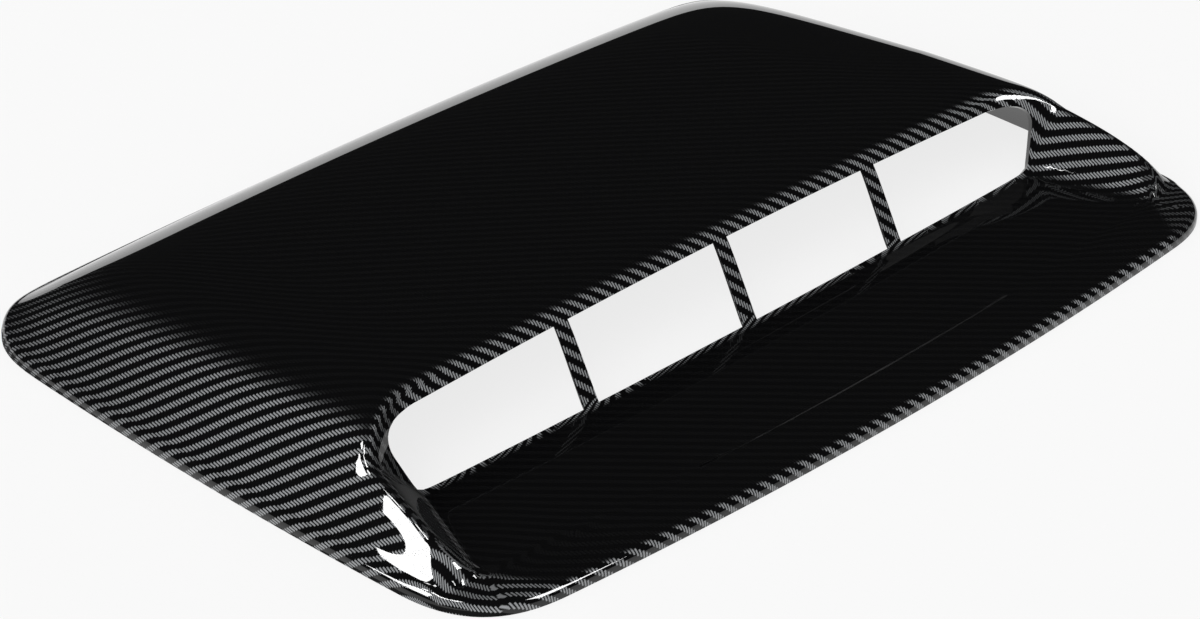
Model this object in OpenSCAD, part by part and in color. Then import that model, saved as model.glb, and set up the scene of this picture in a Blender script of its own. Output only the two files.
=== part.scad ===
// Bonnet scoop: one moulded shell with a wide mouth behind a low front floor.
// The base lies on z = 0, the mouth faces -y and the origin is under the middle.

/* [Overall size] */
// Width of the base, side to side
body_w = 340; // [300:1:420]
// Length of the base on the centre line, front to rear
body_l = 239.2; // [210:0.1:320]
// Height the crown would have with no rounding, above the surface below
crown_h = 35.2; // [28:0.1:48]
// Thickness of the moulded wall
wall = 2.5; // [1.6:0.1:3]

/* [Outline] */
// How far the front edge bows forward at its middle
front_bow = 8.9; // [0:0.1:14]
// How far each side bows outward at its middle
side_bow = 4.3; // [0:0.1:12]
// How far the rear edge bows backward at its middle
rear_bow = 5.5; // [0:0.1:12]
// Radius of the two front corners
front_corner_r = 35.4; // [24:0.1:44]
// Radius of the two rear corners
rear_corner_r = 41.3; // [28:0.1:50]
// How much further out the middle of a front corner lies, as a share of its radius
front_corner_swell = 0.053; // [0:0.001:0.1]
// How much further out the middle of a rear corner lies, as a share of its radius
rear_corner_swell = 0.07; // [0:0.001:0.1]

/* [Rim] */
// Height of the rim's top face
rim_h = 4; // [3.6:0.1:6]
// Height of the upright part of the rim
rim_edge_h = 1.2; // [0.5:0.1:2.5]
// Width of the rounding from the top face to the upright part
rim_round = 3; // [1.5:0.1:4]
// Width of the flat land under the rim, for the bonding tape
land_w = 4; // [3:0.1:6]
// Width over which the inside face climbs from the land
land_step = 2; // [1.5:0.1:3]
// Flat flange outside each side wall
side_flange = 2; // [1:0.1:5]
// Flat flange outside the rear slope
rear_flange = 2.2; // [1:0.1:5]
// Flat flange ahead of the front end of the side walls
front_flange = 18.2; // [12:0.1:24]

/* [Crown] */
// Rounding length of the side wall at the front
front_shoulder = 12; // [9:0.1:16]
// Rounding length of the side wall at the middle
mid_shoulder = 12.9; // [9:0.1:20]
// Rounding length of the side wall at the rear
rear_shoulder = 17; // [12:0.1:26]
// Length over which the side wall changes its rounding
shoulder_run = 85; // [60:1:110]
// Rounding length of the rear slope
tail_run = 17.4; // [12:0.1:26]
// Length over which the side walls rise behind the front flange
nose_run = 5.8; // [4:0.1:12]
// How far the crown drops from its middle line to the sides
camber = 2.5; // [0:0.1:10]
// Fall of the crown toward the rear, in degrees
crown_fall = 4.04; // [0:0.01:6]
// Distance from the front edge to where the fall begins
fall_start = 50; // [30:1:90]

/* [Mouth] */
// Length of the front floor, from the front edge to the windows
floor_l = 63.8; // [54:0.1:74]
// Rise of the floor from the rim to the windows
floor_rise = 0.8; // [0:0.1:2]
// How far the foot of the windows bows forward at its middle
foot_bow = 1.9; // [0:0.1:4]
// Width of the side wall beside each end of the mouth
cheek_w = 34.4; // [32:0.1:44]
// Lean of the window face from the floor, in degrees
face_lean = 62.6; // [50:0.1:68]
// Plan depth of the windows, from their foot to their top
window_run = 13.1; // [9:0.1:14]
// Depth of the rounded band above the windows
band_run = 9; // [6:0.1:14]
// Rise of the inner cheek for each unit outward
cheek_rise = 1.1; // [0.8:0.01:1.4]
// Rise of the inner cheek for each unit backward
cheek_toe = 0.43; // [0.2:0.01:0.8]
// Rounding where the crown meets the mouth
edge_round = 2.9; // [1:0.1:4]
// Rounding where the window face meets the floor
foot_round = 0.3; // [0.2:0.1:1.5]
// Rounding where the inner cheek meets the floor
cheek_round = 1.2; // [0.8:0.1:3]

/* [Windows] */
// Width of a rib at its foot
rib_w = 6.1; // [4:0.1:9]
// How much narrower a rib is at its top
rib_taper = 0.6; // [0:0.1:2]
// How far each side of a rib draws in toward its back, so that its cut edge hardly shows
rib_draft = 1.6; // [0:0.1:2]
// How far the outer end of the mouth leans outward toward its top
end_flare = 12.5; // [6:0.1:14]
// How far the rounded top corner comes back inward
end_round = 10.1; // [4:0.1:12]
// How far the top edge drops forward in that corner
corner_drop = 3.3; // [0:0.1:5]
// Length over which the top edge drops
corner_run = 10.7; // [6:0.1:16]

/* [Hidden] */

half_w = body_w / 2;
half_l = body_l / 2;
mouth_x = half_w - cheek_w;
rib_pitch = mouth_x / 2;

// Powers that shape the side wall, the rear slope and the blend in the mouth's corners
shoulder_power = 1.5;
tail_power = 1.15;
corner_power = 1.08;

// The mouth's end leans out over its whole height and turns back above the turn share
end_turn = 0.44;
end_power = 1.47;
end_fade = 24.5;

// The mesh has a core grid that holds the windows, and loops from it to the rim
core_margin = 9.5;
front_margin = 20;
rear_margin = 22;
core_x = mouth_x + core_margin;
core_front = -half_l + front_margin;
core_rear = half_l - rear_margin;
inner_n = 6;
outer_n = 7;
side_n = 2;
floor_n = 4;
face_n = 5;
band_n = 3;
crown_n = 14;
corner_n = 6;
skin_n = 11;
ridge_n = 4;
share_low = 0.2;
share_high = 0.8;
halvings = 10;
round_n = 3;
inside_n = 5;

// Small maths: a smooth step from -1 to 1, and a smooth version of max(v, 0)
function ease(v) = let (e = exp(2 * v)) (e - 1) / (e + 1);
function soft(v, r) = (v + sqrt(v * v + 4 * r * r)) / 2;
function mix(a, b, t) = a + (b - a) * t;
function unit(v) = v / norm(v);
function rise(d, run, power) = 1 - exp(-pow(max(d, 0) / run, power));

// Outline of the base; end is -1 at the front and 1 at the rear
function end_bow(end) = end < 0 ? front_bow : rear_bow;
function end_y(x, end) = end * (half_l - end_bow(end) * pow(x / half_w, 2));
function end_slope(x, end) = -end * 2 * end_bow(end) * x / pow(half_w, 2);
function side_x(y) = half_w - side_bow * pow(y / half_l, 2);
function side_slope(y) = -2 * side_bow * y / pow(half_l, 2);

// Centre of a corner circle that touches the end curve and the side curve
function corner_centre(c, end, r, steps) = steps == 0 ? c :
    corner_centre([side_x(c.y) - r * sqrt(1 + pow(side_slope(c.y), 2)),
                   end_y(c.x, end) - end * r * sqrt(1 + pow(end_slope(c.x, end), 2))],
                  end, r, steps - 1);
front_centre = corner_centre([half_w - front_corner_r, front_corner_r - half_l],
                             -1, front_corner_r, 6);
rear_centre = corner_centre([half_w - rear_corner_r, half_l - rear_corner_r],
                            1, rear_corner_r, 6);

function corner_r(end) = end < 0 ? front_corner_r : rear_corner_r;
function centre(end) = end < 0 ? front_centre : rear_centre;
function swell(end) = end < 0 ? front_corner_swell : rear_corner_swell;
function end_angle(end) = end * 90 + atan(end_slope(centre(end).x, end));
function side_angle(end) = -atan(side_slope(centre(end).y));
function join_x(end) = centre(end).x + corner_r(end) * cos(end_angle(end));
function join_y(end) = centre(end).y + corner_r(end) * sin(side_angle(end));
function mirror_x(p, side) = [side * p.x, p.y];

// Each piece of the outline gives [point, outward direction]
function on_end(u, end) =
    let (x = u * join_x(end), m = end_slope(x, end))
    [[x, end_y(x, end)], unit([-end * m, end])];
function on_side(v, side) =
    let (y = mix(join_y(-1), join_y(1), v))
    [mirror_x([side_x(y), y], side), mirror_x(unit([1, -side_slope(y)]), side)];
function on_corner(f, end, side) =
    let (sweep = side_angle(end) - end_angle(end), a = end_angle(end) + sweep * f,
         reach = 1 + swell(end) * pow(sin(180 * f), 2),
         turn = swell(end) * sin(360 * f) * 180 / sweep,
         out = reach * [cos(a), sin(a)] - turn * [-sin(a), cos(a)])
    [mirror_x(centre(end) + corner_r(end) * reach * [cos(a), sin(a)], side),
     mirror_x(unit(out), side)];

// Foot and top of the windows, seen from above
function foot_y(x) = -half_l + floor_l + foot_bow * pow(x / mouth_x, 2);
function top_y(x) =
    let (s = (abs(x) - (mouth_x - corner_run)) / corner_run)
    -half_l + floor_l + window_run - corner_drop * pow(min(max(s, 0), 1), 2);

// Crown and side walls, as if the scoop had no mouth
function crown_z(x, y) =
    let (blend = ease(y / shoulder_run),
         shoulder = mix(mid_shoulder, y < 0 ? front_shoulder : rear_shoulder, abs(blend)),
         top = crown_h - rim_h - camber * pow(x / half_w, 2)
               - tan(crown_fall) * max(y + half_l - fall_start, 0),
         sides = rise(side_x(y) - abs(x) - side_flange, shoulder, shoulder_power),
         tail = rise(end_y(x, 1) - y - rear_flange, tail_run, tail_power),
         nose = rise(y - end_y(x, -1) - front_flange, nose_run, 1))
    rim_h + max(top, 0) * sides * tail * nose;

// Floor of the mouth, its window face and its cheeks
function mouth_z(x, y) =
    let (foot = foot_y(x), front = end_y(x, -1),
         ground = rim_h + floor_rise * min(max((y - front) / (foot - front), 0), 1),
         face = soft(tan(face_lean) * (y - foot), foot_round),
         cheek = soft(cheek_rise * (abs(x) - mouth_x) + cheek_toe * (y - foot_y(0)),
                      cheek_round))
    ground + pow(pow(face, corner_power) + pow(cheek, corner_power), 1 / corner_power);

// Top skin: the lower of the two, rounded where they meet
function skin_z(x, y) =
    let (a = crown_z(x, y), b = mouth_z(x, y),
         r = edge_round * ease((a - rim_h) / (3 * edge_round)))
    (a + b) / 2 - sqrt(pow((a - b) / 2, 2) + r * r);
function skin(p) = [p.x, p.y, skin_z(p.x, p.y)];

// Inside face: the top skin moved inward by the wall thickness, square to a slope
// that is read over a reach wide enough to keep tight roundings from folding
slope_reach = 1.4;
function inside(p) =
    let (d = slope_reach * wall,
         gx = (skin_z(p.x + d, p.y) - skin_z(p.x - d, p.y)) / (2 * d),
         gy = (skin_z(p.x, p.y + d) - skin_z(p.x, p.y - d)) / (2 * d))
    skin(p) - wall * unit([-gx, -gy, 1]);

// Columns of the core, from the middle out: [place at foot, place at top, divisions]
top_rib = rib_w - rib_taper;
marks = [
    [0, 0, 0],
    [rib_w / 2, top_rib / 2, 1],
    [rib_pitch - rib_w / 2, rib_pitch - top_rib / 2, inner_n],
    [rib_pitch + rib_w / 2, rib_pitch + top_rib / 2, 1],
    [mouth_x, mouth_x, outer_n],
    [core_x, core_x, side_n],
];
function spread(c) = concat([0], [
    for (m = [1 : len(marks) - 1]) for (s = [1 : marks[m][2]])
        mix(marks[m - 1][c], marks[m][c], s / marks[m][2])
]);
function both_sides(half) = concat([for (i = [len(half) - 1 : -1 : 1]) -half[i]], half);
foot_cols = both_sides(spread(0));
top_cols = both_sides(spread(1));
nx = len(foot_cols) - 1;
ny = floor_n + face_n + band_n + crown_n;

// Outward shift of the mouth's end at height share t, fading away from that end
function end_shift(t) =
    end_flare * t - end_round * pow(max((t - end_turn) / (1 - end_turn), 0), end_power);
function end_weight(x) = x < mouth_x ? max(x - (mouth_x - end_fade), 0) / end_fade
                                     : max(core_x - x, 0) / core_margin;

// Place of a core point, seen from above
function core_xy(i, j) =
    let (x = foot_cols[i], foot = foot_y(x), top = top_y(x),
         t = min(max((j - floor_n) / face_n, 0), 1),
         s = min(max((j - floor_n - face_n) / band_n, 0), 1),
         c = max((j - floor_n - face_n - band_n) / crown_n, 0),
         y = j < floor_n ? mix(core_front, foot, j / floor_n)
             : mix(mix(foot, top, t) + band_run * s, core_rear, c),
         shift = end_shift(t) * (1 - s) * end_weight(abs(x)))
    [mix(x, top_cols[i], t) + sign(x) * shift, y];
core = [for (j = [0 : ny]) for (i = [0 : nx]) core_xy(i, j)];
core_total = len(core);

// Inside point of a core column; those at a rib's edges draw in toward the rib's middle
function draft(i) =
    let (h = abs(i - nx / 2), away = h == 1 || h == 2 + inner_n, near = h == 1 + inner_n)
    sign(i - nx / 2) * rib_draft * (near ? 1 : away ? -1 : 0);
function core_inside(i, j) = inside(core_xy(i, j)) + [draft(i), 0, 0];
function core_id(i, j) = j * (nx + 1) + i;

// Cells of the core that are window, by their count from the middle
function is_window(i, j) =
    let (h = i < nx / 2 ? nx / 2 - 1 - i : i - nx / 2)
    j >= floor_n && j < floor_n + face_n
    && ((h >= 1 && h <= inner_n) || (h >= 2 + inner_n && h <= 1 + inner_n + outer_n));

// Once around the rim: [core point, [outline point, outward direction]]
function col_share(i) = foot_cols[i] / core_x;
function row_share(j) = (core_xy(nx, j).y - core_front) / (core_rear - core_front);
around = concat(
    [for (i = [0 : nx - 1]) [core_id(i, 0), on_end(col_share(i), -1)]],
    [for (s = [0 : corner_n - 1]) [core_id(nx, 0), on_corner(s / corner_n, -1, 1)]],
    [for (j = [0 : ny - 1]) [core_id(nx, j), on_side(row_share(j), 1)]],
    [for (s = [0 : corner_n - 1]) [core_id(nx, ny), on_corner(1 - s / corner_n, 1, 1)]],
    [for (i = [nx : -1 : 1]) [core_id(i, ny), on_end(col_share(i), 1)]],
    [for (s = [0 : corner_n - 1]) [core_id(0, ny), on_corner(s / corner_n, 1, -1)]],
    [for (j = [ny : -1 : 1]) [core_id(0, j), on_side(row_share(j), -1)]],
    [for (s = [0 : corner_n - 1]) [core_id(0, 0), on_corner(1 - s / corner_n, -1, -1)]]
);
turns = len(around);
function inset(a, w) = a[1][0] - w * a[1][1];
function toward_rim(a, w, t) = mix(core[a[0]], inset(a, w), t);
function at_height(p, z) = [p.x, p.y, z];

// Share of the way to the rim where the crown meets the mouth, found by halving
function above(p) = crown_z(p.x, p.y) > mouth_z(p.x, p.y);
function halve(a, low, high, steps) =
    let (t = (low + high) / 2)
    steps == 0 ? t : above(toward_rim(a, rim_round, t)) ? halve(a, t, high, steps - 1)
                                                        : halve(a, low, t, steps - 1);
function ridge_share(a) =
    !above(core[a[0]]) ? share_low
    : above(inset(a, rim_round)) ? share_high
    : min(max(halve(a, 0, 1, halvings), share_low), share_high);
shares = [for (a = around) ridge_share(a)];
function loop_share(k, r) =
    r <= ridge_n ? shares[k] * r / ridge_n
                 : mix(shares[k], 1, (r - ridge_n) / (skin_n - ridge_n));

// Loops from the top skin over the rim, under it and back along the inside face
skin_loops = [for (r = [1 : skin_n])
    [for (k = [0 : turns - 1]) skin(toward_rim(around[k], rim_round, loop_share(k, r)))]];
round_loops = [for (r = [1 : round_n])
    [for (a = around)
        let (q = 90 * r / round_n, z = skin(inset(a, rim_round)).z)
        at_height(inset(a, rim_round * (1 - sin(q))), mix(rim_edge_h, z, cos(q)))]];
land_loops = [for (w = [0, land_w]) [for (a = around) at_height(inset(a, w), 0)]];
inside_loops = [for (r = [inside_n : -1 : 1])
    [for (a = around) inside(toward_rim(a, land_w + land_step, r / inside_n))]];
loops = concat(skin_loops, round_loops, land_loops, inside_loops);
last = len(loops) + 1;

function loop_id(l, k) =
    l == 0 ? around[k % turns][0]
    : l == last ? core_total + around[k % turns][0]
    : 2 * core_total + (l - 1) * turns + k % turns;

// A quad becomes two triangles, mirrored left to right; where it has no width, one
function quad(a, b, c, d, flip) = [
    for (t = flip ? [[a, b, d], [b, c, d]] : [[a, b, c], [a, c, d]])
        if (t[0] != t[1] && t[1] != t[2] && t[2] != t[0]) t
];
function flips(i) = i < nx / 2;

skin_faces = [for (j = [0 : ny - 1]) for (i = [0 : nx - 1]) if (!is_window(i, j))
    each quad(core_id(i, j), core_id(i, j + 1), core_id(i + 1, j + 1), core_id(i + 1, j),
              flips(i))];
inside_faces = [for (t = skin_faces)
    [t[2] + core_total, t[1] + core_total, t[0] + core_total]];
loop_faces = [for (l = [0 : last - 1]) for (k = [0 : turns - 1])
    each quad(loop_id(l, k), loop_id(l, k + 1), loop_id(l + 1, k + 1), loop_id(l + 1, k),
              around[k][1][0].x + around[(k + 1) % turns][1][0].x < 0)];

// Walls of a window join both skins wherever its neighbour is solid
function cut(a, b, flip) = quad(a, b, b + core_total, a + core_total, flip);
window_faces = [for (j = [floor_n : floor_n + face_n - 1]) for (i = [0 : nx - 1])
    if (is_window(i, j)) each concat(
        is_window(i - 1, j) ? [] : cut(core_id(i, j), core_id(i, j + 1), flips(i)),
        is_window(i + 1, j) ? [] : cut(core_id(i + 1, j + 1), core_id(i + 1, j), flips(i)),
        is_window(i, j - 1) ? [] : cut(core_id(i + 1, j), core_id(i, j), flips(i)),
        is_window(i, j + 1) ? [] : cut(core_id(i, j + 1), core_id(i + 1, j + 1), flips(i)))];

module scoop_shell() {
    color([0.09, 0.09, 0.1])
        polyhedron(
            points = concat([for (p = core) skin(p)],
                            [for (j = [0 : ny]) for (i = [0 : nx]) core_inside(i, j)],
                            [for (l = loops) each l]),
            faces = concat(skin_faces, inside_faces, loop_faces, window_faces),
            convexity = 6);
}

scoop_shell();
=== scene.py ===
import math
import bmesh
import bpy
import numpy as np
from mathutils import Matrix, Vector


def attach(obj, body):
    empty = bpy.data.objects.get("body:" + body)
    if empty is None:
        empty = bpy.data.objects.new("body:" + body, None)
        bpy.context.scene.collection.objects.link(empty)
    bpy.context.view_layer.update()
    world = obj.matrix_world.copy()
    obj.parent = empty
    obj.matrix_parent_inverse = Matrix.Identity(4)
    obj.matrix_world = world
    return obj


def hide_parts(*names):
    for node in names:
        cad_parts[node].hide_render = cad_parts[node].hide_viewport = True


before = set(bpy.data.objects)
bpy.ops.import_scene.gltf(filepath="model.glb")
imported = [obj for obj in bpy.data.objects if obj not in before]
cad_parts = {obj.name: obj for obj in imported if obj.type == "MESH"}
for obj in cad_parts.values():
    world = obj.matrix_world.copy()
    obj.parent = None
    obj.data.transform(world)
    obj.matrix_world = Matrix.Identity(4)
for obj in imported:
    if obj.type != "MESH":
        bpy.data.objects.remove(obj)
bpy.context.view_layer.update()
mm = 0.001
print("frame loaded")

# Scoop shell: sizes in mm and angles in degrees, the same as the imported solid's
scoop = {
    "width": 340, "length": 239.2, "crown": 35.2, "wall": 2.5,
    "frontBow": 8.9, "sideBow": 4.3, "rearBow": 5.5,
    "frontCorner": 35.4, "rearCorner": 41.3, "frontSwell": 0.053, "rearSwell": 0.07,
    "rim": 4, "rimEdge": 1.2, "rimRound": 3, "land": 4, "landStep": 2,
    "sideFlange": 2, "rearFlange": 2.2, "frontFlange": 18.2,
    "frontShoulder": 12, "midShoulder": 12.9, "rearShoulder": 17, "shoulderRun": 85,
    "tailRun": 17.4, "noseRun": 5.8, "camber": 2.5, "fall": 4.04, "fallStart": 50,
    "floor": 63.8, "floorRise": 0.8, "footBow": 1.9, "cheek": 34.4, "faceLean": 62.6,
    "windowRun": 13.1, "bandRun": 9, "cheekRise": 1.1, "cheekToe": 0.43,
    "edgeRound": 2.9, "footRound": 0.3, "cheekRound": 1.2,
    "rib": 6.1, "ribTaper": 0.6, "ribDraft": 1.6, "endFlare": 12.5, "endRound": 10.1,
    "cornerDrop": 3.3, "cornerRun": 10.7,
    "shoulderPower": 1.5, "tailPower": 1.15, "cornerPower": 1.08,
    "endTurn": 0.44, "endPower": 1.47, "endFade": 24.5,
    "coreMargin": 9.5, "frontMargin": 20, "rearMargin": 22, "slopeReach": 1.4,
    "edgeFade": 3, "shareLow": 0.2, "shareHigh": 0.8,
}
# How finely the shell is divided: columns from the middle out, rows from front to rear,
# then loops over the rim, steps of two searches, and the angle in degrees that shades as sharp
mesh = {
    "ribHalf": 3, "inner": 26, "rib": 5, "outer": 30, "side": 6,
    "floor": 18, "face": 14, "band": 10, "crown": 66,
    "corner": 22, "ridge": 12, "skin": 34, "round": 8, "inside": 10,
    "halvings": 18, "evenings": 6, "sharpFrom": 38,
}
# Printed film, in mm: width of one tow, step of its tables, and how it stretches and turns
film = {
    "tow": 0.86, "sample": 0.5, "cheekStretch": 0.8, "fadeFrom": 112,
    "turnFrom": 100, "turnRun": 36, "turnAt": -60, "wallTurn": 0.19,
    "faceInset": 9, "mouthMargin": 2, "mouthFade": 8,
}

halfWidth = scoop["width"] / 2
halfLength = scoop["length"] / 2
mouthX = halfWidth - scoop["cheek"]
coreX = mouthX + scoop["coreMargin"]


def softMax(value, radius):  # max(value, 0) with its corner rounded
    return (value + np.sqrt(value * value + 4 * radius * radius)) / 2


def smooth(value):  # 0 to 1 with a level start and end
    value = np.clip(value, 0, 1)
    return value * value * (3 - 2 * value)


def riseUp(distance, run, power):  # climbs from 0 to 1 over about twice the run
    return 1 - np.exp(-(np.maximum(distance, 0) / run) ** power)


def endY(x, end):  # front (-1) or rear (1) edge, a shallow parabola across the car
    bow = scoop["frontBow"] if end < 0 else scoop["rearBow"]
    return end * (halfLength - bow * (x / halfWidth) ** 2)


def endSlope(x, end):  # how that edge runs on, per mm across
    bow = scoop["frontBow"] if end < 0 else scoop["rearBow"]
    return -end * 2 * bow * x / halfWidth ** 2


def sideX(y):  # side edge, a shallow parabola along the car
    return halfWidth - scoop["sideBow"] * (y / halfLength) ** 2


def sideSlope(y):  # how the side edge runs in, per mm along
    return -2 * scoop["sideBow"] * y / halfLength ** 2


def footY(x):  # foot of the windows
    return -halfLength + scoop["floor"] + scoop["footBow"] * (x / mouthX) ** 2


def topY(x):  # top of the windows, dropping forward in the mouth's outer corners
    share = np.clip((np.abs(x) - (mouthX - scoop["cornerRun"])) / scoop["cornerRun"], 0, 1)
    return -halfLength + scoop["floor"] + scoop["windowRun"] - scoop["cornerDrop"] * share ** 2


def crownHeight(x, y):  # plateau times the rise from each side, the tail and the nose
    blend = np.abs(np.tanh(y / scoop["shoulderRun"]))
    far = np.where(y < 0, scoop["frontShoulder"], scoop["rearShoulder"])
    shoulder = scoop["midShoulder"] + (far - scoop["midShoulder"]) * blend
    fall = math.tan(math.radians(scoop["fall"]))
    top = (scoop["crown"] - scoop["rim"] - scoop["camber"] * (x / halfWidth) ** 2
           - fall * np.maximum(y + halfLength - scoop["fallStart"], 0))
    sides = riseUp(sideX(y) - np.abs(x) - scoop["sideFlange"], shoulder, scoop["shoulderPower"])
    tail = riseUp(endY(x, 1) - y - scoop["rearFlange"], scoop["tailRun"], scoop["tailPower"])
    nose = riseUp(y - endY(x, -1) - scoop["frontFlange"], scoop["noseRun"], 1)
    return scoop["rim"] + np.maximum(top, 0) * sides * tail * nose


def mouthHeight(x, y):  # floor, plus the window face and the cheek blended by a power mean
    foot, front = footY(x), endY(x, -1)
    ground = scoop["rim"] + scoop["floorRise"] * np.clip((y - front) / (foot - front), 0, 1)
    face = softMax(math.tan(math.radians(scoop["faceLean"])) * (y - foot), scoop["footRound"])
    cheek = softMax(scoop["cheekRise"] * (np.abs(x) - mouthX) + scoop["cheekToe"] * (y - footY(0)),
                    scoop["cheekRound"])
    power = scoop["cornerPower"]
    return ground + (face ** power + cheek ** power) ** (1 / power)


def skinHeight(x, y):  # the lower of crown and mouth, rounded where they cross
    crown, mouth = crownHeight(x, y), mouthHeight(x, y)
    fade = scoop["edgeFade"] * scoop["edgeRound"]
    radius = scoop["edgeRound"] * np.tanh((crown - scoop["rim"]) / fade)
    return (crown + mouth) / 2 - np.sqrt(((crown - mouth) / 2) ** 2 + radius ** 2)


def slopes(x, y, reach):  # rise of the skin per mm across and along, from points on both sides
    slopeX = (skinHeight(x + reach, y) - skinHeight(x - reach, y)) / (2 * reach)
    slopeY = (skinHeight(x, y + reach) - skinHeight(x, y - reach)) / (2 * reach)
    return slopeX, slopeY


def onSkin(xy):  # points raised to the skin
    return np.column_stack([xy, skinHeight(xy[:, 0], xy[:, 1])])


def onInside(xy):  # the skin moved inward by the wall, square to its slope
    slopeX, slopeY = slopes(xy[:, 0], xy[:, 1], scoop["slopeReach"] * scoop["wall"])
    normal = np.column_stack([-slopeX, -slopeY, np.ones(len(xy))])
    normal /= np.linalg.norm(normal, axis=1)[:, None]
    return onSkin(xy) - scoop["wall"] * normal


def cornerCentre(end):  # circle that touches an end curve and a side curve
    radius = scoop["frontCorner"] if end < 0 else scoop["rearCorner"]
    centre = np.array([halfWidth - radius, end * (halfLength - radius)])
    for step in range(6):  # it settles in a few rounds
        centre = np.array([
            sideX(centre[1]) - radius * math.hypot(1, sideSlope(centre[1])),
            endY(centre[0], end) - end * radius * math.hypot(1, endSlope(centre[0], end))])
    return centre, radius


def outline(end, kind, share, side=1):
    # one stretch of the base's edge, as points and outward directions
    centre, radius = cornerCentre(end)
    endAngle = end * math.pi / 2 + math.atan(endSlope(centre[0], end))
    sideAngle = -math.atan(sideSlope(centre[1]))
    if kind == "end":
        x = share * (centre[0] + radius * math.cos(endAngle))
        points = np.column_stack([x, endY(x, end)])
        out = np.column_stack([-end * endSlope(x, end), np.full(len(x), float(end))])
    elif kind == "corner":
        # an arc whose middle swells outward a little
        swell = scoop["frontSwell"] if end < 0 else scoop["rearSwell"]
        sweep = sideAngle - endAngle
        angle = endAngle + sweep * share
        reach = (1 + swell * np.sin(math.pi * share) ** 2)[:, None]
        turn = (swell * np.sin(2 * math.pi * share) * math.pi / sweep)[:, None]
        ray = np.column_stack([np.cos(angle), np.sin(angle)])
        out = reach * ray - turn * np.column_stack([-np.sin(angle), np.cos(angle)])
        points = centre + radius * reach * ray
    else:
        joins = []
        for each in (-1, 1):
            middle, r = cornerCentre(each)
            joins.append(middle[1] - r * math.sin(math.atan(sideSlope(middle[1]))))
        y = joins[0] + (joins[1] - joins[0]) * share
        points = np.column_stack([sideX(y), y])
        out = np.column_stack([np.ones(len(y)), -sideSlope(y)])
    out = out / np.linalg.norm(out, axis=1)[:, None]
    flip = np.array([side, 1])
    return points * flip, out * flip


def spread(marks, counts):  # marks joined by evenly divided stretches
    parts = [np.linspace(a, b, n, endpoint=False) for a, b, n in zip(marks[:-1], marks[1:], counts)]
    return np.concatenate(parts + [np.array([marks[-1]])])


def coreGrid():
    # x and y of the middle grid: columns keep to the ribs and the mouth's end, rows to the windows;
    # t, s, c and a run 0 to 1 up the windows, over the band, over the crown and over the floor
    counts = [mesh["ribHalf"], mesh["inner"], mesh["rib"], mesh["outer"], mesh["side"]]
    pitch = mouthX / 2

    def columns(rib):
        half = spread([0, rib / 2, pitch - rib / 2, pitch + rib / 2, mouthX, coreX], counts)
        return np.concatenate([-half[:0:-1], half])

    foot = columns(scoop["rib"])
    top = columns(scoop["rib"] - scoop["ribTaper"])
    rowCounts = [mesh["floor"], mesh["face"], mesh["band"], mesh["crown"]]
    rows = np.arange(sum(rowCounts) + 1)[:, None]
    t = np.clip((rows - mesh["floor"]) / mesh["face"], 0, 1)
    s = np.clip((rows - mesh["floor"] - mesh["face"]) / mesh["band"], 0, 1)
    c = np.clip((rows - sum(rowCounts[:3])) / mesh["crown"], 0, 1)
    a = np.clip(rows / mesh["floor"], 0, 1)
    x = foot[None, :]
    footLine, topLine = footY(x), topY(x)
    coreFront = -halfLength + scoop["frontMargin"]
    coreRear = halfLength - scoop["rearMargin"]
    y = footLine + (topLine - footLine) * t + scoop["bandRun"] * s
    y = y + (coreRear - y) * c
    y = np.where(rows < mesh["floor"], coreFront + (footLine - coreFront) * a, y)
    away = np.where(np.abs(x) < mouthX,
                    np.maximum(np.abs(x) - (mouthX - scoop["endFade"]), 0) / scoop["endFade"],
                    np.maximum(coreX - np.abs(x), 0) / scoop["coreMargin"])
    turn = np.maximum((t - scoop["endTurn"]) / (1 - scoop["endTurn"]), 0) ** scoop["endPower"]
    shift = (scoop["endFlare"] * t - scoop["endRound"] * turn) * (1 - s) * away
    x = x + (top[None, :] - x) * t + np.sign(x) * shift
    return x, y, foot


def windowCells(columnCount):
    # True where a cell of the middle grid is open: cells counted out from the middle column
    cell = np.abs(np.arange(columnCount) + 0.5 - columnCount / 2) - 0.5
    first = mesh["ribHalf"]
    second = first + mesh["inner"] + mesh["rib"]
    openColumn = (((cell >= first) & (cell < first + mesh["inner"]))
                  | ((cell >= second) & (cell < second + mesh["outer"])))
    rowCount = mesh["floor"] + mesh["face"] + mesh["band"] + mesh["crown"]
    row = np.arange(rowCount)
    openRow = (row >= mesh["floor"]) & (row < mesh["floor"] + mesh["face"])
    return openRow[:, None] & openColumn[None, :]


def sampleGrid(table, x, y):
    # bilinear look-up in a table with rows along y and columns along x, ending just inside it
    step = film["sample"]
    col = np.clip((x + halfWidth) / step, 0, table.shape[1] - 1.001)
    row = np.clip((y + halfLength) / step, 0, table.shape[0] - 1.001)
    i, j = col.astype(int), row.astype(int)
    u, v = col - i, row - j
    low = table[j, i] * (1 - u) + table[j, i + 1] * u
    high = table[j + 1, i] * (1 - u) + table[j + 1, i + 1] * u
    return low * (1 - v) + high * v


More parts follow.
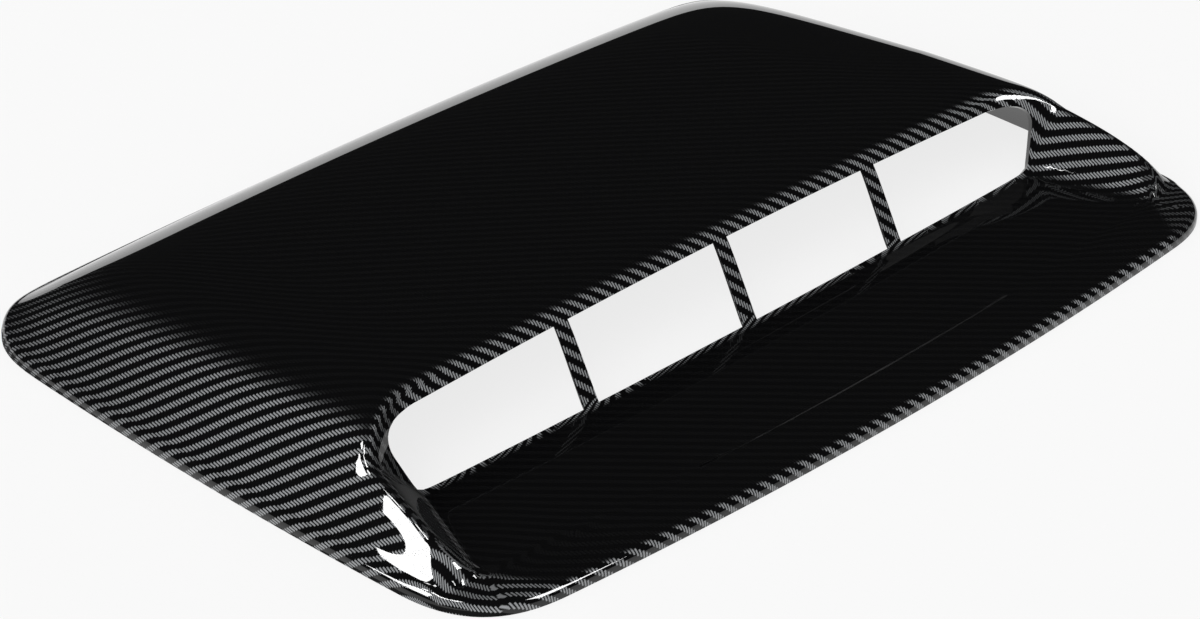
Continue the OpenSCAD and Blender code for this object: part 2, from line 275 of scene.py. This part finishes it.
def filmMap():
    # how far the film is shifted: it lies along the skin, so across the car its length is added up
    # over the crown's slope and then over the cheek's slope from the ridge inward, and along the
    # car it is added up down the window face
    step = film["sample"]
    x = np.arange(-halfWidth, halfWidth + step, step)
    y = np.arange(-halfLength, halfLength + step, step)
    gridX, gridY = np.meshgrid(x, y)
    crownPath = np.hypot(1, np.gradient(crownHeight(gridX, gridY), step, axis=1))
    skinPath = np.hypot(1, np.gradient(skinHeight(gridX, gridY), step, axis=1))
    middle = len(x) // 2
    u = np.cumsum((crownPath - 1) * step, axis=1)
    u = u - u[:, middle:middle + 1]
    extra = film["cheekStretch"] * (skinPath - crownPath) * step
    inward = np.cumsum(extra[:, ::-1], axis=1)[:, ::-1]
    inward = np.where(gridX > 0, inward, 0)
    inward = inward + inward[:, ::-1] * (gridX < 0)
    fade = np.clip((np.abs(gridX) - film["fadeFrom"]) / (mouthX - film["fadeFrom"]), 0, 1)
    u = u - np.sign(gridX) * inward * fade
    # on the side walls, outside the cheeks, it also turns a little
    outer = smooth((np.abs(gridX + u) - film["turnFrom"]) / film["turnRun"])
    crown, mouth = crownHeight(gridX, gridY), mouthHeight(gridX, gridY)
    onCheek = np.clip((crown - mouth) / 2 + 0.5, 0, 1)
    turn = film["wallTurn"] * outer * (1 - onCheek)
    u = u + np.sign(gridX) * turn * (gridY - film["turnAt"])
    faceX = mouthX - film["faceInset"]
    down = np.gradient(skinHeight(np.clip(gridX, -faceX, faceX), gridY), step, axis=0)
    steep = (np.hypot(1, down) - 1) * step * (gridY > footY(gridX)) * (gridY < 0)
    v = -np.cumsum(steep[::-1], axis=0)[::-1] * (gridY > footY(gridX))
    inMouth = np.clip((mouthX + film["mouthMargin"] - np.abs(gridX)) / film["mouthFade"], 0, 1)
    return u, v * inMouth


def filmPlace(table, xy):  # place on the film, in mm: the point plus the film's shift there
    u = xy[:, 0] + sampleGrid(table[0], xy[:, 0], xy[:, 1])
    v = xy[:, 1] + sampleGrid(table[1], xy[:, 0], xy[:, 1])
    return np.column_stack([u, v])


# Painted sheen and shade on the film, 0 to 1: painted light where the skin tilts, from the level share
# of the skin's normal where it starts to where it is full, painted light outside a line in mm across
# each front corner, and painted shade, weaker shares, on the far side from the key light and toward the
# rear
paintedSheen = {
    "flatFrom": 0.965, "steepFrom": 0.80, "reach": 0.6, "footReach": 3.0, "footShare": 0.85,
    "lineX": 149.6, "lineY": -91.7, "lineOutX": 0.834, "lineOutY": 0.553,
    "lineRun": 3.0, "lineRear": 8, "corner": 0.62,
    "farSideShade": 0.3, "awayFrom": 0.05, "awayRun": 0.3,
    "rearShade": 0.6, "rearFrom": -30, "rearRun": 130,
}


def tilt(xy):  # the skin's normal: its level share, and its share toward the right
    slopeX, slopeY = slopes(xy[:, 0], xy[:, 1], paintedSheen["reach"])
    level = 1 / np.sqrt(1 + slopeX ** 2 + slopeY ** 2)
    return level, -slopeX * level


def paintedLightShare(level, right, xy):
    # painted light: bright where the film runs down a slope, and outside a line across each front
    # corner;
    # painted shade: weaker where the skin faces right, away from the key light, and toward the rear
    steep = smooth((paintedSheen["flatFrom"] - level) / (paintedSheen["flatFrom"] - paintedSheen["steepFrom"]))
    outside = ((np.abs(xy[:, 0]) - paintedSheen["lineX"]) * paintedSheen["lineOutX"]
               - (xy[:, 1] - paintedSheen["lineY"]) * paintedSheen["lineOutY"])
    inFront = xy[:, 1] < paintedSheen["lineY"] + paintedSheen["lineRear"]
    corner = paintedSheen["corner"] * smooth(outside / paintedSheen["lineRun"]) * inFront
    away = smooth((right - paintedSheen["awayFrom"]) / paintedSheen["awayRun"])
    away = np.where(xy[:, 0] > 0, np.maximum(away, outside > 0), away)
    rear = smooth((xy[:, 1] - paintedSheen["rearFrom"]) / paintedSheen["rearRun"])
    return (np.maximum(steep, corner) * (1 - (1 - paintedSheen["farSideShade"]) * away)
            * (1 - (1 - paintedSheen["rearShade"]) * rear))


def loopShares(core, edge):
    # share of the way to the rim at which the crown meets the mouth, found by halving
    def above(p):
        return crownHeight(p[:, 0], p[:, 1]) > mouthHeight(p[:, 0], p[:, 1])

    low, high = np.zeros(len(core)), np.ones(len(core))
    for step in range(mesh["halvings"]):
        middle = (low + high) / 2
        up = above(core + (edge - core) * middle[:, None])
        low, high = np.where(up, middle, low), np.where(up, high, middle)
    share = np.clip(low, scoop["shareLow"], scoop["shareHigh"])
    share = np.where(above(core), share, scoop["shareLow"])
    share = np.where(above(edge), scoop["shareHigh"], share)
    for step in range(mesh["evenings"]):  # evened along the rim, so that the mesh lines run smoothly
        share = (np.roll(share, 1) + 2 * share + np.roll(share, -1)) / 4
    return share


def buildShell():
    # a closed shell: middle grid, loops over the rim and back inside, and the inside grid;
    # each list of faces goes with 1 where the film covers it, or 0
    gridX, gridY, foot = coreGrid()
    rowsN, colsN = gridX.shape[0] - 1, gridX.shape[1] - 1
    ids = np.arange(gridX.size).reshape(gridX.shape)
    core = np.column_stack([gridX.ravel(), gridY.ravel()])
    coreFront, coreRear = gridY[0, 0], gridY[-1, 0]
    colShare = foot / coreX
    rowShare = (gridY[:, -1] - coreFront) / (coreRear - coreFront)
    fan = np.arange(mesh["corner"]) / mesh["corner"]
    stretches = [
        (ids[0, :-1], outline(-1, "end", colShare[:-1])),
        (np.repeat(ids[0, -1], len(fan)), outline(-1, "corner", fan)),
        (ids[:-1, -1], outline(1, "side", rowShare[:-1])),
        (np.repeat(ids[-1, -1], len(fan)), outline(1, "corner", 1 - fan)),
        (ids[-1, :0:-1], outline(1, "end", colShare[:0:-1])),
        (np.repeat(ids[-1, 0], len(fan)), outline(1, "corner", fan, -1)),
        (ids[:0:-1, 0], outline(1, "side", rowShare[:0:-1], -1)),
        (np.repeat(ids[0, 0], len(fan)), outline(-1, "corner", 1 - fan, -1)),
    ]
    start = np.concatenate([s[0] for s in stretches])
    edge = np.vstack([s[1][0] for s in stretches])
    out = np.vstack([s[1][1] for s in stretches])
    inner = core[start]
    table = filmMap()

    # over the skin, from the middle grid past the ridge to the top of the rim
    loops, places, paintedSheens = [], [], []
    rimTop = edge - scoop["rimRound"] * out
    share = loopShares(inner, rimTop)
    for r in range(1, mesh["skin"] + 1):
        if r <= mesh["ridge"]:
            t = share * r / mesh["ridge"]
        else:
            t = share + (1 - share) * (r - mesh["ridge"]) / (mesh["skin"] - mesh["ridge"])
        xy = inner + (rimTop - inner) * t[:, None]
        loops.append(onSkin(xy))
        places.append(filmPlace(table, xy))
        level, right = tilt(xy)
        # near the rim the painted sheen takes the steeper slope from further inward, so the flange is
        # painted as lit as the skirt
        steeper = tilt(xy - paintedSheen["footReach"] * out * (t > paintedSheen["footShare"])[:, None])
        right = np.where(steeper[0] < level, steeper[1], right)
        paintedSheens.append(paintedLightShare(np.minimum(level, steeper[0]), right, xy))
    # down the rounded rim, and under it to the land's inner edge
    topZ = loops[-1][:, 2]
    place = places[-1]
    for r in range(1, mesh["round"] + 1):
        q = math.pi / 2 * r / mesh["round"]
        xy = edge - scoop["rimRound"] * (1 - math.sin(q)) * out
        z = scoop["rimEdge"] + (topZ - scoop["rimEdge"]) * math.cos(q)
        ring = np.column_stack([xy, z])
        place = place + out * np.linalg.norm(ring - loops[-1], axis=1)[:, None]
        loops.append(ring)
        places.append(place)
        # the rounded rim keeps at least the painted sheen of the skin's last loop
        onRim = paintedLightShare(np.full(len(xy), math.cos(q)), out[:, 0] * math.sin(q), xy)
        paintedSheens.append(np.maximum(paintedSheens[mesh["skin"] - 1], onRim))
    for inset in (0, scoop["land"]):
        xy = edge - inset * out
        loops.append(np.column_stack([xy, np.zeros(len(xy))]))
        place = place + out * scoop["rimEdge"]
        places.append(place)
        paintedSheens.append(paintedSheens[-1])
    # back over the inside, from the land to the middle grid
    insideEdge = edge - (scoop["land"] + scoop["landStep"]) * out
    for r in range(mesh["inside"], 0, -1):
        xy = inner + (insideEdge - inner) * r / mesh["inside"]
        loops.append(onInside(xy))
        places.append(xy)
        paintedSheens.append(np.zeros(len(xy)))

    turns, total = len(start), len(core)
    # the inside points of a rib's edges draw in toward the rib's middle
    fromMiddle = np.arange(colsN + 1) - colsN // 2
    column = np.abs(fromMiddle)
    first, last = mesh["ribHalf"], mesh["ribHalf"] + mesh["inner"]
    pull = np.where((column <= first) & (column > 0), -column / first, 0.0)
    across = (column - last) / mesh["rib"]
    pull = np.where((across >= 0) & (across <= 1), 1 - 2 * across, pull)
    coreInside = onInside(core)
    coreInside[:, 0] += np.tile(np.sign(fromMiddle) * pull * scoop["ribDraft"], rowsN + 1)
    points = np.vstack([onSkin(core), coreInside] + loops)
    film2d = np.vstack([filmPlace(table, core), core] + places)
    # glow is the painted sheen and shade share at each point, none on the inside
    glow = np.concatenate([paintedLightShare(*tilt(core), core), np.zeros(len(core))] + paintedSheens)
    loopIds = [2 * total + k * turns + np.arange(turns) for k in range(len(loops))]
    loopIds = [start] + loopIds + [start + total]

    # faces: both grids without the windows, the bands between loops, and the windows' cut walls
    quads = []
    openCell = windowCells(colsN)
    a, b, c, d = ids[:-1, :-1], ids[1:, :-1], ids[1:, 1:], ids[:-1, 1:]
    solid = ~openCell
    top = np.column_stack([a[solid], d[solid], c[solid], b[solid]])
    quads.append((top, 1))
    quads.append((top[:, ::-1] + total, 0))
    printedLoops = mesh["skin"] + mesh["round"] + 1
    for k, (near, far) in enumerate(zip(loopIds[:-1], loopIds[1:])):
        ring = np.column_stack([near, far, np.roll(far, -1), np.roll(near, -1)])
        quads.append((ring, 1 if k < printedLoops else 0))
    padded = np.pad(openCell, 1)
    inside = padded[1:-1, 1:-1]
    walls = [
        (inside & ~padded[1:-1, :-2], b, a), (inside & ~padded[1:-1, 2:], d, c),
        (inside & ~padded[:-2, 1:-1], a, d), (inside & ~padded[2:, 1:-1], c, b),
    ]
    for here, p, q in walls:
        p, q = p[here], q[here]
        quads.append((np.column_stack([p, q, q + total, p + total]), 0))
    return points, film2d, glow, quads


def makeShell():
    # the mesh in metres, with the film's place as its UV map, and the film's cover and its painted
    # sheen and shade as attributes
    points, film2d, glow, quads = buildShell()
    faces, kinds = [], []
    for rows, kind in quads:
        same = rows[:, 3] == rows[:, 0]
        faces += rows[~same].tolist() + rows[same][:, :3].tolist()
        kinds += [kind] * len(rows)
    data = bpy.data.meshes.new("scoopShell")
    data.from_pydata((points * mm).tolist(), [], faces)
    kinds = np.array(kinds)
    corners = np.empty(len(data.loops), dtype=np.int32)
    data.loops.foreach_get("vertex_index", corners)
    layer = data.uv_layers.new(name="film")
    layer.data.foreach_set("uv", (film2d[corners] / film["tow"]).astype(np.float32).ravel())
    printed = data.attributes.new("printed", "FLOAT", "FACE")
    printed.data.foreach_set("value", (kinds == 1).astype(np.float32))
    # the painted sheen and shade share, per point
    paintedSheenLayer = data.attributes.new("paintedSheen", "FLOAT", "POINT")
    paintedSheenLayer.data.foreach_set("value", glow.astype(np.float32))
    data.polygons.foreach_set("use_smooth", np.ones(len(data.polygons), dtype=bool))
    data.update()
    data.set_sharp_from_angle(angle=math.radians(mesh["sharpFrom"]))
    shell = bpy.data.objects.new("carbonScoop", data)
    bpy.context.scene.collection.objects.link(shell)
    loose = np.bincount(corners, minlength=len(points)) == 0
    if loose.any():  # grid points inside the windows belong to no face
        work = bmesh.new()
        work.from_mesh(data)
        work.verts.ensure_lookup_table()
        unused = [work.verts[i] for i in np.flatnonzero(loose)]
        bmesh.ops.delete(work, geom=unused, context="VERTS")
        work.to_mesh(data)
        work.free()
    return shell


class NodeKit:
    # short way to add and join shader nodes
    def __init__(self, material):
        self.tree = material.node_tree
        self.tree.nodes.clear()

    def add(self, kind, inputs=None, **settings):
        node = self.tree.nodes.new(kind)
        for name, value in settings.items():
            setattr(node, name, value)
        for name, value in (inputs or {}).items():
            socket = node.inputs[name]
            if isinstance(value, bpy.types.NodeSocket):
                self.tree.links.new(value, socket)
            else:
                socket.default_value = value
        return node

    def maths(self, operation, a, b=None):
        inputs = {0: a} if b is None else {0: a, 1: b}
        return self.add("ShaderNodeMath", inputs, operation=operation).outputs[0]

    def between(self, value, low, high):  # smooth step from 0 at low to 1 at high
        return self.add("ShaderNodeMapRange", {"Value": value, "From Min": low, "From Max": high},
                        interpolation_type="SMOOTHSTEP").outputs[0]

    def mix(self, share, a, b):  # colour a where the share is 0, b where it is 1
        return self.add("ShaderNodeMix", {"Factor": share, "A": a, "B": b},
                        data_type="RGBA").outputs[2]


# Woven film under clear gloss: colours are linear, sizes in tow widths. The flat and steep stroke
# colours are shaded and lit copies of one print, painted shade and painted sheen, mixed by the painted
# sheen attribute.
# The twill repeats every six tows, three of them over and three under.
weave = {
    "gap": (0.0042, 0.0042, 0.0045, 1), "flat": (0.0085, 0.0086, 0.009, 1),
    "steep": (0.36, 0.37, 0.38, 1), "under": (0.012, 0.012, 0.013, 1),
    "repeat": 6.0, "strokeHalf": 0.26, "strokeEdge": 0.16, "endFade": 0.3,
    "coatRough": 0.02, "coatBend": 1.5, "baseRough": 0.42,
}


def wovenGloss():
    material = bpy.data.materials.new("wovenGloss")
    material.use_nodes = True
    kit = NodeKit(material)
    place = kit.add("ShaderNodeUVMap", uv_map="film").outputs[0]
    axes = kit.add("ShaderNodeSeparateXYZ", {0: place})
    u, v = axes.outputs[0], axes.outputs[1]
    column = kit.maths("FLOOR", u)
    # float along the car: half a repeat long, one tow wide, stepped by one tow a column
    along = kit.maths("FLOORED_MODULO", kit.maths("ADD", v, column), weave["repeat"])
    # one bright stroke down the middle of each tow, faded at both ends of the float
    off = kit.maths("ABSOLUTE", kit.maths("SUBTRACT", kit.maths("SUBTRACT", u, column), 0.5))
    stroke = kit.between(off, weave["strokeHalf"] + weave["strokeEdge"],
                         weave["strokeHalf"] - weave["strokeEdge"])
    middle = weave["repeat"] / 4
    fromMiddle = kit.maths("ABSOLUTE", kit.maths("SUBTRACT", along, middle))
    body = kit.between(kit.maths("SUBTRACT", middle, fromMiddle), 0.0, weave["endFade"])
    bright = kit.maths("MULTIPLY", stroke, body)
    # strokes are painted light grey, a painted sheen, where the film runs down a steep wall and at the
    # front corners, and painted darker, a painted shade, facing right and toward the rear; the inside
    # has no film
    steep = kit.add("ShaderNodeAttribute", attribute_name="paintedSheen").outputs["Fac"]
    woven = kit.mix(bright, weave["gap"], kit.mix(steep, weave["flat"], weave["steep"]))
    printed = kit.add("ShaderNodeAttribute", attribute_name="printed").outputs["Fac"]
    bsdf = kit.add("ShaderNodeBsdfPrincipled", {
        "Base Color": kit.mix(printed, weave["under"], woven),
        "Roughness": weave["baseRough"], "Specular IOR Level": 0.0,
        "Coat Weight": 1.0, "Coat Roughness": weave["coatRough"], "Coat IOR": weave["coatBend"]})
    kit.add("ShaderNodeOutputMaterial", {"Surface": bsdf.outputs[0]})
    return material


shell = makeShell()
shell.data.materials.append(wovenGloss())
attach(shell, "root")
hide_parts("scoop_shell")
print("shell made:", len(shell.data.polygons), "faces")

# White studio table, lit evenly, with darkness above it in reflections: lengths in m
white = (1, 1, 1, 1)
studio = {
    "tableSize": 6.0, "tableColour": (0.9, 0.9, 0.9, 1),
    "tableShade": (0.22, 0.22, 0.22, 1), "tableLift": 0.8,
    "shadeX": -0.02, "shadeHalfX": 0.15, "shadeHalfY": 0.11,
    "ambient": (0.42, 0.42, 0.42, 1), "above": (0.012, 0.012, 0.012, 1), "horizonBlur": 0.002,
    "keyPower": 1.55, "keyFrom": (-0.80, -0.30, 0.52), "keyAngle": 50, "keyDistance": 2.0,
    "boxDistance": 1.5,
}


def makeTable():
    # one square at height 0; the camera and reflections see it darker but glowing, so that it
    # shows white and still keeps the scoop's shadow
    half = studio["tableSize"] / 2
    data = bpy.data.meshes.new("studioTable")
    places = [(-half, -half, 0), (half, -half, 0), (half, half, 0), (-half, half, 0)]
    data.from_pydata(places, [], [(0, 1, 2, 3)])
    table = bpy.data.objects.new("studioTable", data)
    bpy.context.scene.collection.objects.link(table)
    material = bpy.data.materials.new("whiteTable")
    material.use_nodes = True
    kit = NodeKit(material)
    rays = kit.add("ShaderNodeLightPath").outputs
    seen = kit.maths("MAXIMUM", kit.maths("MAXIMUM", rays["Is Camera Ray"], rays["Is Glossy Ray"]),
                     rays["Is Transmission Ray"])
    # painted shadow: reflections find the table's glow switched off in a box under the shell, standing
    # in for the shell's shadow, apart from its right edge
    spot = kit.add("ShaderNodeSeparateXYZ", {0: kit.add("ShaderNodeTexCoord").outputs["Object"]})
    offX = kit.maths("ABSOLUTE", kit.maths("SUBTRACT", spot.outputs[0], studio["shadeX"]))
    offY = kit.maths("ABSOLUTE", spot.outputs[1])
    paintedShadowBox = kit.maths("MULTIPLY", kit.maths("LESS_THAN", offX, studio["shadeHalfX"]),
                       kit.maths("LESS_THAN", offY, studio["shadeHalfY"]))
    shown = kit.maths("SUBTRACT", 1.0, kit.maths("MULTIPLY", paintedShadowBox, rays["Is Glossy Ray"]))
    colour = kit.mix(seen, studio["tableColour"], studio["tableShade"])
    diffuse = kit.add("ShaderNodeBsdfDiffuse", {"Color": colour})
    glow = kit.maths("MULTIPLY", kit.maths("MULTIPLY", seen, shown), studio["tableLift"])
    lift = kit.add("ShaderNodeEmission", {"Color": white, "Strength": glow})
    both = kit.add("ShaderNodeAddShader", {0: diffuse.outputs[0], 1: lift.outputs[0]})
    kit.add("ShaderNodeOutputMaterial", {"Surface": both.outputs[0]})
    data.materials.append(material)


def makeWorld():
    # white to the camera, dark above the horizon in reflections, and an even grey for all else
    world = bpy.data.worlds.new("studio")
    bpy.context.scene.world = world
    world.use_nodes = True
    kit = NodeKit(world)
    rays = kit.add("ShaderNodeLightPath").outputs
    direction = kit.add("ShaderNodeSeparateXYZ", {0: kit.add("ShaderNodeTexCoord").outputs["Generated"]})
    up = kit.between(direction.outputs[2], -studio["horizonBlur"], studio["horizonBlur"])
    glossy = kit.mix(up, white, studio["above"])
    plain = kit.mix(rays["Is Camera Ray"], studio["ambient"], white)
    colour = kit.mix(rays["Is Glossy Ray"], plain, glossy)
    shade = kit.add("ShaderNodeBackground", {"Color": colour, "Strength": 1.0})
    kit.add("ShaderNodeOutputWorld", {"Surface": shade.outputs[0]})


def aimed(lamp, direction, distance):  # a lamp set out along a direction, facing the origin
    direction = Vector(direction).normalized()
    lamp.location = direction * distance
    lamp.rotation_euler = direction.to_track_quat("Z", "Y").to_euler()


def makeKey():  # a wide sun for the film, left out of reflections
    light = bpy.data.lights.new("key", "SUN")
    light.energy = studio["keyPower"]
    light.angle = math.radians(studio["keyAngle"])
    lamp = bpy.data.objects.new("key", light)
    bpy.context.scene.collection.objects.link(lamp)
    aimed(lamp, studio["keyFrom"], studio["keyDistance"])
    lamp.visible_glossy = False


# Softboxes that show only as highlights in the gloss: direction, size in degrees as seen from
# the scoop, and glow
softboxes = [
    {"name": "leftBox", "from": (-0.788, 0.287, 0.545), "width": 22, "height": 28, "glow": 26},
    {"name": "ridgeBox", "from": (-0.42, 0.32, 0.85), "width": 6, "height": 8, "glow": 26},
    {"name": "frontBox", "from": (0.23, -0.71, 0.64), "width": 20, "height": 20, "glow": 26},
    {"name": "cheekBox", "from": (-0.38, 0.10, 0.92), "width": 8, "height": 8, "glow": 26},
]


def makeSoftbox(box):  # power is glow times area times pi, so that the glow is its radiance
    distance = studio["boxDistance"]
    light = bpy.data.lights.new(box["name"], "AREA")
    light.shape = "RECTANGLE"
    light.size = 2 * distance * math.tan(math.radians(box["width"] / 2))
    light.size_y = 2 * distance * math.tan(math.radians(box["height"] / 2))
    light.energy = box["glow"] * light.size * light.size_y * math.pi
    lamp = bpy.data.objects.new(box["name"], light)
    bpy.context.scene.collection.objects.link(lamp)
    aimed(lamp, box["from"], distance)
    lamp.visible_diffuse = False


makeTable()
makeWorld()
makeKey()
for box in softboxes:
    makeSoftbox(box)
print("studio made")

# Camera: where the photo was taken from, in degrees and mm
view = {
    "azimuth": -45.653, "elevation": 30.346, "roll": 0.37, "distance": 1136.38,
    "sideways": -5.045, "upward": -12.11, "ahead": 0.8, "lens": 109.06, "sensor": 36,
}


def makeCamera():
    # at its distance along the view from the scoop, moved sideways and up, and rolled
    a, e = math.radians(view["azimuth"]), math.radians(view["elevation"])
    back = Vector((math.sin(a) * math.cos(e), -math.cos(a) * math.cos(e), math.sin(e)))
    right = Vector((0, 0, 1)).cross(back).normalized()
    up = back.cross(right)
    roll = Matrix.Rotation(math.radians(view["roll"]), 3, back)
    right, up = roll @ right, roll @ up
    place = back * view["distance"] + right * view["sideways"] + up * view["upward"]
    place = place + Vector((0, view["ahead"], 0))
    data = bpy.data.cameras.new("camera")
    data.lens = view["lens"]
    data.sensor_width = view["sensor"]
    camera = bpy.data.objects.new("camera", data)
    bpy.context.scene.collection.objects.link(camera)
    turn = Matrix((right, up, back)).transposed().to_4x4()
    camera.matrix_world = Matrix.Translation(place * mm) @ turn
    bpy.context.scene.camera = camera


makeCamera()
bpy.context.scene.view_settings.view_transform = "Standard"
print("camera set")
